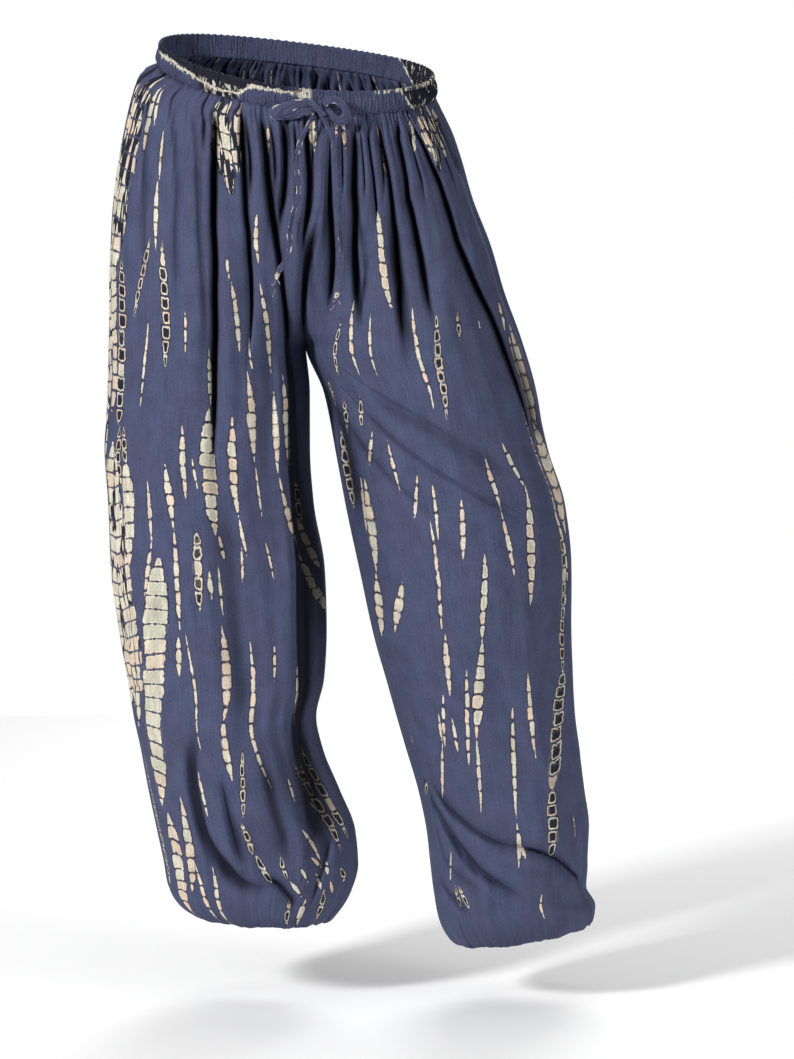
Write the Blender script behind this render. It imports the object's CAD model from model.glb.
import math

import bpy
import numpy as np
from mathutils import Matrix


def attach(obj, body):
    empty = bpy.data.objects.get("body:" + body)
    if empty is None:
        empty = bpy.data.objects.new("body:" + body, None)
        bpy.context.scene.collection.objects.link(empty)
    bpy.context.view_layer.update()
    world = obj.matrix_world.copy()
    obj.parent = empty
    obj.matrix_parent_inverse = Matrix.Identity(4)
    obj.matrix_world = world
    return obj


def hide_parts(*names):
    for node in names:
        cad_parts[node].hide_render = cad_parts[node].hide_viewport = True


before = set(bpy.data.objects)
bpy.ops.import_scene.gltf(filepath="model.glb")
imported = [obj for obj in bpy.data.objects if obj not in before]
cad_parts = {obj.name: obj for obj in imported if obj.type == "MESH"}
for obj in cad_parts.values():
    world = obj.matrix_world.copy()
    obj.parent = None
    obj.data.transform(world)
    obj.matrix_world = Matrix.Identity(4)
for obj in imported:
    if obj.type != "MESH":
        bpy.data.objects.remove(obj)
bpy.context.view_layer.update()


# ----------------------------------------------------------------------------------------------------------
# Camera, light and floor: a tall picture of the whole garment from the front, a little to its left, in a
# plain pale studio.

bpy.context.scene.view_settings.view_transform = "Standard"

CAMERA_LENS = 147.0
CAMERA_PLACE = (0.103, -4.6, 0.03)
# How far below the camera's height its aim is by the time it reaches the garment, in metres.
CAMERA_LOOKS_DOWN = 0.516
LAMPS_AIM_AT = (0.05, 0.0, -0.45)
FLOOR_HEIGHT = -1.0
# How bright the pale studio looks to the camera, and how much it lights the cloth.
BACKDROP_SEEN = 1.0
BACKDROP_GLOW = 0.05


def add_object(name, data):
    """A new object of the scene."""
    made = bpy.data.objects.new(name, data)
    bpy.context.collection.objects.link(made)
    return made


camera = add_object("camera", bpy.data.cameras.new("camera"))
camera.data.lens = CAMERA_LENS
camera.location = CAMERA_PLACE
camera.rotation_euler = (math.atan2(-CAMERA_PLACE[1], CAMERA_LOOKS_DOWN), 0.0, 0.0)
bpy.context.scene.camera = camera

world = bpy.data.worlds.new("studio")
world.use_nodes = True
backdrop = world.node_tree.nodes["Background"]
backdrop.inputs["Color"].default_value = (1.0, 1.0, 1.0, 1.0)
seen = world.node_tree.nodes.new("ShaderNodeLightPath")
bright = world.node_tree.nodes.new("ShaderNodeMapRange")
bright.inputs["To Min"].default_value = BACKDROP_GLOW
bright.inputs["To Max"].default_value = BACKDROP_SEEN
world.node_tree.links.new(seen.outputs["Is Camera Ray"], bright.inputs["Value"])
world.node_tree.links.new(bright.outputs["Result"], backdrop.inputs["Strength"])
bpy.context.scene.world = world

# name, place, size and watts of each soft lamp
for lamp_name, lamp_place, lamp_size, lamp_power in (
    ("key_lamp", (-2.5, -2.8, 1.2), 0.6, 186.0),
    ("side_lamp", (2.9, -1.9, 0.3), 1.2, 52.0),
    ("back_lamp", (0.6, 2.6, 1.2), 1.6, 60.0),
    ("top_lamp", (0.05, -0.2, 3.2), 2.6, 42.0),
):
    lamp = add_object(lamp_name, bpy.data.lights.new(lamp_name, "AREA"))
    lamp.data.size = lamp_size
    lamp.data.energy = lamp_power
    lamp.location = lamp_place
    aim = -np.array(lamp_place) + LAMPS_AIM_AT
    lean, turn = math.acos(-aim[2] / np.linalg.norm(aim)), math.atan2(aim[1], aim[0]) - math.pi / 2.0
    lamp.rotation_euler = (lean, 0.0, turn)

floor_mesh = bpy.data.meshes.new("floor")
floor_corners = [(x, y, FLOOR_HEIGHT) for x, y in ((-1.7, -1.6), (1.9, -1.6), (1.9, 2.0), (-1.7, 2.0))]
floor_mesh.from_pydata(floor_corners, [], [(0, 1, 2, 3)])
floor_paint = bpy.data.materials.new("floor")
floor_paint.use_nodes = True
floor_look = floor_paint.node_tree.nodes["Principled BSDF"].inputs
floor_look["Base Color"].default_value = (0.92, 0.92, 0.92, 1.0)
floor_look["Roughness"].default_value = 0.9
floor_mesh.materials.append(floor_paint)
floor = add_object("floor", floor_mesh)


# ----------------------------------------------------------------------------------------------------------
# Leg panels: four lengths of rayon, gathered into the waistband and the ankle casings.  Everything is in
# millimetres until a mesh is made.  A place on a panel is how far across it is, from 0 at the rise and
# inseam to 1 at the side seam, and its drop down the cloth from the waist seam.

CLOTH_THICK = 0.8
# How far a panel's top row stands up inside the waistband, and half the gap between right and left at the
# rise.
TOP_LIFT = 1.5
RISE_GAP = 0.14
# The valley along the rise seam: its depth and half width.
VALLEY_DEPTH = 15.0
VALLEY_WIDTH = 5.5
# Width of cloth that a share of 1 across a panel stands for, and the share by which a leg runs past its
# inseam.
PANEL_WIDTH = 380.0
EXTENSION = 0.12
# Drops at which a section begins to turn from the hips to a leg, and the cloth beside the rise to run
# under, and the drop of the crotch, where both are done.
LEG_STARTS = 58.0
UNDER_STARTS = 118.0
CROTCH_DROP = 258.0
# Half the gap at the side seam, as a share of the way across.
SEAM_INSET = 0.15 / 350.0
# x of the rise, front and back, by drop
CENTRE_FRONT = ((0, 27), (90, 27), (150, 19), (200, 13), (258, 8))
CENTRE_BACK = ((0, 0), (120, 2), (200, 4), (258, 5))

# drop, height, inner x, outer x, front y, seam y, back y, rise towards the wearer's left in each 100
LEG_SECTIONS = {
    "right": (
        (0, -24.3, 4.35, -148, -104, 0, 110, 0),
        (14, -38, 4.35, -168, -112, 0, 124, 0),
        (36, -60, 4.35, -177, -118, 0, 136, 0),
        (66, -90, 4.35, -184, -121, 2, 145, 0),
        (106, -130, 4.35, -192, -123, 4, 150, 0),
        (156, -180, 4.35, -198, -124, 6, 152, 0),
        (206, -230, 4.35, -201, -122, 8, 147, 0),
        (258, -282, 4.35, -202, -118, 10, 138, 0),
        (316, -340, 9, -204, -112, 10, 120, 0),
        (376, -400, 9, -208, -105, 10, 108, 0),
        (436, -460, 13, -205, -99, 10, 104, 0),
        (506, -530, 23, -202, -96, 10, 104, 0),
        (576, -600, 26, -193, -94, 10, 106, 0),
        (626, -650, 23, -185, -93, 11, 108, 0),
        (666, -690, 15, -180, -92, 12, 110, 0),
        (701, -725, 22, -173, -90, 13, 114, 0),
        (746, -770, 40, -165, -87, 14, 116, 0),
        (791, -815, 57, -156, -83, 15, 114, 0),
        (826, -850, 60, -149, -78, 17, 110, 0),
        (858, -877, 52, -145, -72, 18, 106, -3),
        (880, -897, 39, -133, -63, 19, 98, -5),
        (899, -909, 29, -109, -50, 20, 86, -4),
        (916, -904, 23, -83, -39, 20, 77, 0),
        (932, -886, 11, -55, -24, 20, 64, 0),
    ),
    "left": (
        (0, -24.3, 4.65, 142, -104, 0, 110, 0),
        (14, -38, 4.65, 150, -112, 0, 124, 0),
        (36, -60, 4.65, 161, -118, 0, 136, 0),
        (66, -90, 4.65, 171, -121, 2, 145, 0),
        (106, -130, 4.65, 182, -123, 4, 150, 0),
        (156, -180, 4.65, 199, -124, 6, 152, 0),
        (206, -230, 4.65, 213, -122, 8, 147, 0),
        (258, -282, 4.65, 232, -118, 10, 138, 0),
        (316, -340, 26, 250, -118, 8, 122, 0),
        (376, -400, 38, 262, -120, 4, 106, 0),
        (436, -460, 49, 281, -122, 0, 96, 0),
        (506, -530, 64, 289, -119, -4, 90, 0),
        (576, -600, 79, 288, -111, -4, 90, 0),
        (626, -650, 93, 289, -103, -2, 93, 0),
        (666, -690, 104, 292, -97, 0, 97, 0),
        (701, -725, 114, 297, -92, 3, 101, 0),
        (746, -770, 127, 302, -87, 6, 104, 0),
        (791, -815, 136, 308, -83, 9, 105, 0),
        (826, -850, 140, 308, -79, 12, 103, 2),
        (858, -880, 144, 306, -74, 14, 98, 5),
        (886, -905, 150, 316, -66, 16, 92, 9),
        (909, -926, 166, 313, -50, 18, 82, 14),
        (926, -923, 180, 303, -36, 18, 72, 24),
        (942, -904, 199, 291, -22, 18, 58, 30),
    ),
}

# Lines down each panel that the gathered folds follow, from the rise to the side seam: routes of (across,
# drop).
GRAIN = {
    "panel_front_right": (
        ((0.07, 0), (0.055, 35), (0.04, 90), (0.03, 160)),
        ((0.165, 0), (0.14, 20), (0.13, 40), (0.12, 100), (0.075, 140), (0.05, 180), (0.05, 250)),
        ((0.25, 0), (0.22, 15), (0.195, 40), (0.18, 70), (0.155, 105), (0.115, 140), (0.09, 175),
         (0.085, 210), (0.09, 260), (0.10, 320), (0.10, 420), (0.135, 575), (0.14, 715), (0.23, 800)),
        ((0.34, 0), (0.30, 15), (0.275, 45), (0.26, 75), (0.245, 110), (0.225, 145), (0.225, 175),
         (0.235, 210), (0.27, 290)),
        ((0.435, 0), (0.39, 25), (0.375, 50), (0.36, 100), (0.355, 155), (0.375, 210), (0.395, 315),
         (0.395, 400)),
    ),
    "panel_front_left": (
        ((0.04, 0), (0.03, 35), (0.03, 60), (0.035, 90), (0.065, 125), (0.10, 160), (0.125, 200),
         (0.13, 260)),
        ((0.165, 0), (0.15, 40), (0.14, 75), (0.16, 110), (0.195, 150), (0.235, 185), (0.26, 220),
         (0.27, 280)),
        ((0.24, 0), (0.225, 30), (0.23, 75), (0.245, 100), (0.30, 150), (0.335, 195), (0.35, 250)),
        ((0.31, 0), (0.30, 30), (0.31, 75), (0.33, 105), (0.365, 135), (0.39, 165), (0.41, 195), (0.41, 250)),
        ((0.43, 0), (0.40, 30), (0.40, 80), (0.43, 105), (0.465, 135), (0.49, 160), (0.51, 190), (0.53, 240)),
        ((0.525, 0), (0.555, 30), (0.59, 60), (0.635, 95), (0.675, 140), (0.70, 160), (0.75, 200),
         (0.78, 230), (0.795, 290), (0.83, 370)),
        ((0.81, 0), (0.86, 25), (0.89, 40), (0.92, 70), (0.93, 120)),
    ),
    "panel_back_right": (
        ((0.08, 0), (0.075, 120), (0.09, 240)),
        ((0.20, 0), (0.19, 140), (0.20, 380)),
        ((0.31, 0), (0.30, 120), (0.31, 220)),
        ((0.42, 0), (0.40, 150), (0.41, 430)),
        ((0.54, 0), (0.52, 110), (0.53, 200)),
        ((0.68, 0), (0.65, 140), (0.66, 330)),
        ((0.83, 0), (0.81, 110), (0.81, 200)),
    ),
    "panel_back_left": (
        ((0.09, 0), (0.085, 120), (0.10, 260)),
        ((0.21, 0), (0.20, 100), (0.20, 200)),
        ((0.33, 0), (0.315, 160), (0.32, 400)),
        ((0.44, 0), (0.42, 110), (0.43, 240)),
        ((0.57, 0), (0.545, 150), (0.55, 350)),
        ((0.70, 0), (0.675, 100), (0.68, 190)),
        ((0.84, 0), (0.815, 130), (0.82, 280)),
    ),
}

# Creases: depth, half width before the line, half width past it, route of (across, drop).  Before is the
# side of the rise on a route that runs down, and the side of the waist on one that runs across towards the
# side seam.  A route from above 0 runs into the waist seam.
CREASES = {
    "panel_front_right": (
        (20, 3.2, 5.4, ((0.46, -50), (0.435, 0), (0.39, 25), (0.375, 50), (0.36, 100), (0.355, 155),
                        (0.375, 210), (0.385, 260), (0.395, 315), (0.395, 360), (0.39, 410))),
        (15, 3.4, 4.6, ((0.36, -50), (0.34, 0), (0.30, 15), (0.275, 45), (0.26, 75), (0.245, 110),
                        (0.225, 145), (0.225, 175), (0.235, 210), (0.25, 240), (0.27, 290))),
        (18, 3.2, 5.4, ((0.28, -50), (0.25, 0), (0.22, 15), (0.195, 40), (0.18, 70), (0.155, 105),
                        (0.115, 140), (0.09, 175), (0.085, 210), (0.09, 245), (0.095, 280), (0.10, 320))),
        (17, 16.0, 2.6, ((0.085, 170), (0.085, 210), (0.09, 245), (0.10, 320), (0.10, 360), (0.10, 425),
                         (0.115, 490), (0.135, 575), (0.12, 640), (0.14, 715), (0.20, 770), (0.26, 820))),
        (-9, 5.0, 17.0, ((0.12, 190), (0.12, 245), (0.125, 320), (0.125, 425), (0.14, 490), (0.16, 575),
                         (0.15, 640), (0.17, 715))),
        (14, 3.2, 4.6, ((0.18, -50), (0.165, 0), (0.14, 20), (0.13, 40), (0.125, 70), (0.12, 105),
                        (0.105, 140))),
        (15, 4.0, 3.4, ((0.08, -50), (0.07, 0), (0.055, 35), (0.04, 90), (0.025, 130), (0.015, 170))),
        (8, 2.6, 2.6, ((0.33, -30), (0.30, 0), (0.248, 50), (0.232, 105))),
        (7, 2.4, 2.4, ((0.23, -30), (0.205, 0), (0.168, 40), (0.152, 90))),
        (8, 2.6, 2.6, ((0.12, -30), (0.112, 0), (0.092, 40), (0.078, 110))),
        (6, 2.2, 2.2, ((0.48, -30), (0.462, 0), (0.43, 30), (0.412, 62))),
        (5, 5.0, 5.0, ((0.55, -30), (0.53, 0), (0.446, 54), (0.414, 156), (0.428, 300))),
        (5, 6.0, 6.0, ((0.66, -30), (0.63, 0), (0.534, 60), (0.504, 108), (0.524, 250))),
        (5, 7.0, 7.0, ((0.80, -30), (0.78, 0), (0.70, 60), (0.66, 130), (0.66, 230))),
        (6, 18.0, 20.0, ((0.40, 360), (0.374, 420), (0.376, 484), (0.382, 548), (0.366, 622), (0.322, 720))),
        (7, 7.0, 9.0, ((0.46, 700), (0.478, 730), (0.488, 762), (0.488, 800), (0.47, 830))),
        (8, 8.0, 9.0, ((0.28, 690), (0.294, 720), (0.312, 752), (0.318, 796), (0.31, 820))),
        (13, 4.5, 15.0, ((0.53, 640), (0.538, 676), (0.572, 708), (0.59, 742), (0.598, 774), (0.578, 796),
                        (0.538, 814), (0.488, 832), (0.418, 840), (0.35, 842))),
        (-5, 5.0, 6.0, ((0.47, 700), (0.504, 745), (0.525, 785), (0.49, 812), (0.43, 822))),
        (11, 4.0, 5.0, ((0.42, 822), (0.396, 828), (0.35, 838), (0.302, 854), (0.25, 870))),
        (6, 4.0, 6.0, ((0.10, 780), (0.16, 810), (0.20, 840), (0.21, 868))),
        (3, 7.0, 7.0, ((0.80, 780), (0.74, 836), (0.62, 870))),
        (2, 12.0, 12.0, ((0.52, 400), (0.55, 520), (0.56, 640))),
        (2, 10.0, 10.0, ((0.24, 440), (0.20, 560), (0.21, 680))),
        (9, 26.0, 6.0, ((0.12, 660), (0.135, 715), (0.17, 765), (0.20, 800))),
    ),
    "panel_front_left": (
        (15, 9.0, 2.6, ((0.035, 15), (0.03, 40), (0.03, 60), (0.035, 90), (0.065, 125), (0.10, 160),
                        (0.125, 200), (0.13, 235))),
        (17, 8.0, 3.2, ((0.17, -40), (0.165, 0), (0.15, 40), (0.14, 75), (0.16, 110), (0.195, 150),
                        (0.235, 185), (0.26, 220), (0.27, 260))),
        (11, 4.0, 2.8, ((0.25, -40), (0.24, 0), (0.225, 30), (0.23, 75), (0.245, 100), (0.265, 130))),
        (17, 5.6, 3.2, ((0.33, -50), (0.31, 0), (0.30, 30), (0.305, 50), (0.31, 75), (0.33, 105),
                        (0.365, 135), (0.39, 165), (0.41, 195), (0.41, 225), (0.405, 270))),
        (18, 7.5, 3.4, ((0.45, -50), (0.43, 0), (0.42, 12), (0.40, 30), (0.40, 80), (0.43, 105), (0.465, 135),
                        (0.49, 160), (0.51, 190), (0.52, 215), (0.53, 250))),
        (24, 7.5, 3.6, ((0.54, -40), (0.525, 0), (0.54, 20), (0.555, 30), (0.59, 60), (0.615, 75),
                        (0.635, 95), (0.66, 115), (0.675, 140), (0.70, 160), (0.725, 180), (0.75, 200),
                        (0.78, 230), (0.79, 270), (0.80, 310), (0.815, 340), (0.83, 380))),
        (6, 16.0, 20.0, ((0.84, 230), (0.86, 280), (0.88, 330), (0.90, 380))),
        (24, 14.0, 5.0, ((0.79, -40), (0.81, 0), (0.825, 12), (0.86, 25), (0.89, 40), (0.93, 55),
                         (0.97, 75))),
        (7, 2.4, 2.4, ((0.095, -30), (0.09, 0), (0.085, 40), (0.08, 90))),
        (7, 2.4, 2.4, ((0.20, -30), (0.19, 0), (0.185, 40), (0.18, 95))),
        (7, 2.4, 2.4, ((0.31, -30), (0.295, 0), (0.278, 40), (0.27, 90))),
        (8, 2.8, 2.8, ((0.50, -30), (0.488, 0), (0.472, 40), (0.50, 100))),
        (9, 3.0, 3.0, ((0.66, -30), (0.67, 0), (0.70, 40), (0.75, 90))),
        (6, 10.0, 10.0, ((0.31, 90), (0.36, 150), (0.42, 215), (0.43, 300))),
        (5, 8.0, 12.0, ((0.04, 290), (0.032, 320), (0.066, 360), (0.07, 400), (0.06, 450))),
        (5, 14.0, 11.0, ((0.15, 292), (0.28, 322), (0.43, 350), (0.58, 382), (0.76, 415))),
        (3.5, 5.5, 6.0, ((0.09, 300), (0.18, 328), (0.31, 365), (0.45, 400), (0.60, 432), (0.74, 460))),
        (3.5, 5.5, 6.0, ((0.05, 315), (0.13, 358), (0.24, 398), (0.37, 440), (0.44, 475))),
        (3, 8.0, 8.0, ((0.488, 418), (0.662, 426), (0.952, 450))),
        (11, 12.0, 4.2, ((0.06, 650), (0.052, 712), (0.076, 742), (0.152, 778), (0.29, 816), (0.426, 840),
                         (0.54, 862))),
        (-5, 6.0, 7.0, ((0.03, 745), (0.10, 778), (0.23, 822), (0.36, 848), (0.46, 866))),
        (10, 10.0, 3.4, ((0.08, 700), (0.11, 728), (0.16, 752), (0.24, 770), (0.31, 782), (0.41, 793),
                         (0.52, 798))),
        (14, 4.0, 3.0, ((0.40, 789), (0.52, 797), (0.60, 804), (0.68, 815), (0.76, 831), (0.90, 856))),
        (-4, 5.0, 8.0, ((0.36, 801), (0.50, 809), (0.64, 821), (0.76, 843), (0.88, 866))),
        (7, 8.0, 3.2, ((0.055, 735), (0.07, 775), (0.10, 808), (0.16, 824), (0.24, 834), (0.34, 846))),
        (8, 5.0, 6.0, ((0.02, 810), (0.04, 826), (0.086, 844), (0.164, 860), (0.238, 872))),
        (3, 6.0, 6.0, ((0.62, 855), (0.76, 870), (0.90, 874))),
        (2, 12.0, 12.0, ((0.60, 480), (0.70, 560), (0.72, 660))),
    ),
    "panel_back_right": (
        (16, 4.6, 4.6, ((0.09, -50), (0.08, 0), (0.075, 120), (0.09, 240), (0.10, 300))),
        (8, 2.6, 2.6, ((0.15, -30), (0.145, 0), (0.135, 60), (0.13, 120))),
        (19, 5.0, 5.0, ((0.21, -50), (0.20, 0), (0.19, 140), (0.20, 300), (0.21, 420))),
        (8, 2.6, 2.6, ((0.27, -30), (0.26, 0), (0.245, 60), (0.25, 130))),
        (13, 4.4, 4.4, ((0.32, -40), (0.31, 0), (0.30, 120), (0.31, 230), (0.32, 270))),
        (19, 5.2, 5.2, ((0.44, -50), (0.42, 0), (0.40, 150), (0.41, 340), (0.42, 480))),
        (9, 3.0, 3.0, ((0.49, -30), (0.48, 0), (0.465, 70), (0.47, 140))),
        (12, 5.0, 5.0, ((0.56, -40), (0.54, 0), (0.52, 110), (0.53, 210), (0.54, 250))),
        (15, 5.6, 5.6, ((0.70, -50), (0.68, 0), (0.65, 140), (0.66, 280), (0.67, 380))),
        (8, 3.4, 3.4, ((0.76, -30), (0.75, 0), (0.73, 70), (0.735, 150))),
        (10, 5.6, 5.6, ((0.84, -40), (0.83, 0), (0.81, 110), (0.81, 220))),
        (7, 4.0, 4.0, ((0.93, -30), (0.92, 0), (0.90, 80), (0.90, 150))),
        (12, 7.0, 12.0, ((0.12, 660), (0.14, 730), (0.22, 790), (0.36, 842), (0.50, 862))),
        (11, 12.0, 6.0, ((0.72, 690), (0.68, 760), (0.58, 815), (0.44, 850))),
        (5, 12.0, 16.0, ((0.10, 310), (0.45, 420), (0.80, 560))),
        (3, 6.0, 9.0, ((0.15, 380), (0.42, 470), (0.66, 590))),
        (5, 5.0, 7.0, ((0.24, 740), (0.30, 810), (0.42, 866))),
        (4, 7.0, 6.0, ((0.84, 770), (0.76, 830), (0.62, 872))),
        (3, 10.0, 12.0, ((0.50, 540), (0.46, 640), (0.48, 740))),
    ),
    "panel_back_left": (
        (17, 4.8, 4.8, ((0.10, -50), (0.09, 0), (0.085, 120), (0.10, 270), (0.11, 320))),
        (8, 2.6, 2.6, ((0.16, -30), (0.15, 0), (0.142, 60), (0.145, 130))),
        (13, 4.4, 4.4, ((0.22, -40), (0.21, 0), (0.20, 100), (0.20, 210), (0.21, 260))),
        (8, 2.6, 2.6, ((0.28, -30), (0.27, 0), (0.258, 60), (0.26, 130))),
        (19, 5.2, 5.2, ((0.34, -50), (0.33, 0), (0.315, 160), (0.32, 320), (0.33, 450))),
        (14, 4.6, 4.6, ((0.46, -40), (0.44, 0), (0.42, 110), (0.43, 250), (0.44, 290))),
        (9, 3.0, 3.0, ((0.51, -30), (0.50, 0), (0.485, 60), (0.49, 130))),
        (17, 5.4, 5.4, ((0.59, -50), (0.57, 0), (0.545, 150), (0.55, 300), (0.56, 410))),
        (11, 4.6, 4.6, ((0.71, -40), (0.70, 0), (0.675, 100), (0.68, 200))),
        (8, 3.4, 3.4, ((0.77, -30), (0.765, 0), (0.745, 70), (0.75, 160))),
        (12, 5.8, 5.8, ((0.85, -40), (0.84, 0), (0.815, 130), (0.82, 300))),
        (7, 4.0, 4.0, ((0.93, -30), (0.925, 0), (0.905, 70), (0.905, 140))),
        (12, 7.0, 12.0, ((0.12, 680), (0.20, 750), (0.34, 812), (0.50, 862))),
        (11, 12.0, 6.0, ((0.82, 700), (0.76, 780), (0.62, 832), (0.48, 856))),
        (5, 12.0, 16.0, ((0.10, 330), (0.50, 450), (0.85, 600))),
        (3, 6.0, 9.0, ((0.18, 400), (0.44, 490), (0.70, 610))),
        (5, 5.0, 7.0, ((0.22, 760), (0.38, 830), (0.58, 878))),
        (4, 7.0, 6.0, ((0.90, 790), (0.78, 840), (0.64, 876))),
        (3, 10.0, 12.0, ((0.46, 560), (0.42, 660), (0.45, 760))),
    ),
}


def smoothstep(share):
    """Ease from 0 to 1 over a share that runs from 0 to 1."""
    share = np.clip(share, 0.0, 1.0)
    return share * share * (3.0 - 2.0 * share)


def smooth_curve(knots, values, places, steady=True):
    """Values at places on a cubic Hermite curve through the knots; a steady one never swings past them."""
    knots = np.asarray(knots, float)
    values = np.asarray(values, float)
    slopes = np.gradient(values, knots, axis=0)
    if steady:
        rises = np.diff(values, axis=0) / np.diff(knots).reshape((-1,) + (1,) * (values.ndim - 1))
        same_way = rises[1:] * rises[:-1] > 0.0
        total = np.where(same_way, rises[1:] + rises[:-1], 1.0)
        slopes[1:-1] = np.where(same_way, 2.0 * rises[1:] * rises[:-1] / total, 0.0)
    places = np.clip(places, knots[0], knots[-1])
    left = np.clip(np.searchsorted(knots, places, side="right") - 1, 0, len(knots) - 2)
    step = knots[left + 1] - knots[left]
    t = (places - knots[left]) / step
    if values.ndim > 1:
        step = step[..., None]
        t = t[..., None]
    start = (1.0 + 2.0 * t) * (1.0 - t) ** 2 * values[left]
    start_slope = t * (1.0 - t) ** 2 * step * slopes[left]
    end = t * t * (3.0 - 2.0 * t) * values[left + 1]
    end_slope = t * t * (t - 1.0) * step * slopes[left + 1]
    return start + start_slope + end + end_slope


def sections(side, drop):
    """Height, inner, outer, front, seam, back and slope of a leg at the given drops."""
    table = np.array(LEG_SECTIONS[side], float)
    return np.moveaxis(smooth_curve(table[:, 0], table[:, 1:], drop), -1, 0)


def waist_tilt(x, y):
    """How far the waist stands over its middle: a lift, a roll, a pitch and a sag to the front and back."""
    return 15.0 + 0.22 * y - 0.0006 * y * y - 0.12 * x


def bare_panel(side, face, across, drop):
    """Points of a panel before its folds.

    Over the hips a section is a quarter of an ellipse from the rise to the side seam, and down the leg half
    of one from the inseam to the side seam.  Smoothsteps of the drop blend the two, late beside the rise.
    """
    height, inner, outer, front, seam, back, slope = sections(side, drop)
    other_outer = sections("left" if side == "right" else "right", drop)[2]
    toward = -1.0 if side == "right" else 1.0
    depth = front - seam if face == "front" else back - seam
    legward = smoothstep((drop - LEG_STARTS) / (CROTCH_DROP - LEG_STARTS))
    ramp = (1.0 - across) * (1.0 - np.exp(-across / 0.04))
    turn = SEAM_INSET + (1.0 - 2.0 * SEAM_INSET) * (across + EXTENSION * legward * ramp)

    centre = 0.5 * (outer + other_outer)
    half = np.abs(outer - centre)
    rise = np.array(CENTRE_FRONT if face == "front" else CENTRE_BACK, float)
    start = np.arcsin(np.clip((smooth_curve(rise[:, 0], rise[:, 1], drop) - centre) / half, -0.9, 0.9))
    hip_turn = start + turn * (toward * 0.5 * math.pi - start)
    hip_x = centre + half * np.sin(hip_turn)
    hip_y = seam + depth * np.cos(hip_turn)

    middle = 0.5 * (inner + outer)
    leg_x = middle + (inner - middle) * np.cos(math.pi * turn)
    leg_y = seam + depth * np.sin(math.pi * turn)

    run_under = np.clip((drop - UNDER_STARTS) / (CROTCH_DROP - UNDER_STARTS), 0.0, 1.0)
    beside_rise = 1.0 - np.clip(1.0 - run_under**1.6, 0.0, 1.0) ** 0.6
    away = smoothstep(across / 0.35)
    blend = (1.0 - away) * beside_rise + away * legward
    x = (1.0 - legward) * hip_x + legward * leg_x
    y = (1.0 - blend) * hip_y + blend * leg_y
    fade = 1.0 - smoothstep((drop - 6.0) / (CROTCH_DROP - 6.0))
    z = height + waist_tilt(x, y) * fade + slope * (x - middle) / 100.0
    return np.stack([x, y, z], axis=-1)


def outward(side, face, across, drop, bare):
    """Unit normals: the cross product of the steps across the panel and down it, turned to face out."""
    step = 1e-3
    over = bare_panel(side, face, across + step, drop) - bare_panel(side, face, across - step, drop)
    runs = np.diff(bare, axis=0)
    runs /= np.linalg.norm(runs, axis=-1, keepdims=True)
    along = np.concatenate([runs[:1], runs[:-1] + runs[1:], runs[-1:]])
    normal = np.cross(over, along)
    if (side == "right") != (face == "front"):
        normal = -normal
    return normal / np.linalg.norm(normal, axis=-1, keepdims=True)


def ripple(u, v, size_u, size_v, seed, waves=9):
    """Slow unevenness between about -1 and 1: a sum of cosines with seeded directions and phases."""
    rng = np.random.default_rng(seed)
    total = np.zeros(np.broadcast(u, v).shape)
    for _ in range(waves):
        angle, phase = rng.uniform(0.0, 2.0 * math.pi, 2)
        pace = rng.uniform(0.6, 1.6)
        run = u / size_u * math.cos(angle) + v / size_v * math.sin(angle)
        total += np.cos(pace * run * 2.0 * math.pi + phase)
    return total / math.sqrt(waves)


def crease_depth(name, across, drop):
    """Creases: a steep trough within a soft one, by distance from a smooth route.

    They are shallower towards the ends of the route.  Each side of the route has its own width, so that a
    crease can be steep on one side and gentle on the other.
    """
    depth = np.zeros(across.shape)
    wide = across * PANEL_WIDTH
    for deep, before, past, route in CREASES[name]:
        corners = np.array(route) * (PANEL_WIDTH, 1.0)
        steps = 4 * (len(route) - 1)
        line = smooth_curve(np.arange(len(route)), corners, np.linspace(0.0, len(route) - 1.0, steps + 1))
        reach = 6.0 * max(before, past)
        near = (drop > line[:, 1].min() - reach) & (drop < line[:, 1].max() + reach)
        near &= (wide > line[:, 0].min() - reach) & (wide < line[:, 0].max() + reach)
        place = np.stack([wide[near], drop[near]], axis=-1)
        nearest = np.full(len(place), np.inf)
        width = np.full(len(place), before)
        far = np.zeros(len(place))
        gone = 0.0
        for here, there in zip(line[:-1], line[1:]):
            run = there - here
            length = np.linalg.norm(run)
            share = np.clip((place - here) @ run / length**2, 0.0, 1.0)
            off = place - here - share[:, None] * run
            gap = np.linalg.norm(off, axis=-1)
            closer = gap < nearest
            over = run[0] * off[:, 1] - run[1] * off[:, 0] > 0.0
            if abs(line[-1, 1] - line[0, 1]) > abs(line[-1, 0] - line[0, 0]):
                over = ~over
            width = np.where(closer, np.where(over, past, before), width)
            far = np.where(closer, gone + share * length, far)
            nearest = np.minimum(gap, nearest)
            gone += length
        ends = 0.30 * gone
        swell = smoothstep(far / ends) * smoothstep((gone - far) / ends)
        steep = np.exp(-((nearest / width) ** 2.2))
        soft = np.exp(-((nearest / (2.8 * width)) ** 2))
        depth[near] += deep * (0.08 + 0.92 * swell) * (0.85 * steep + 0.25 * soft)
    return depth * (0.10 + 0.90 * smoothstep(drop / 30.0))


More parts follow.
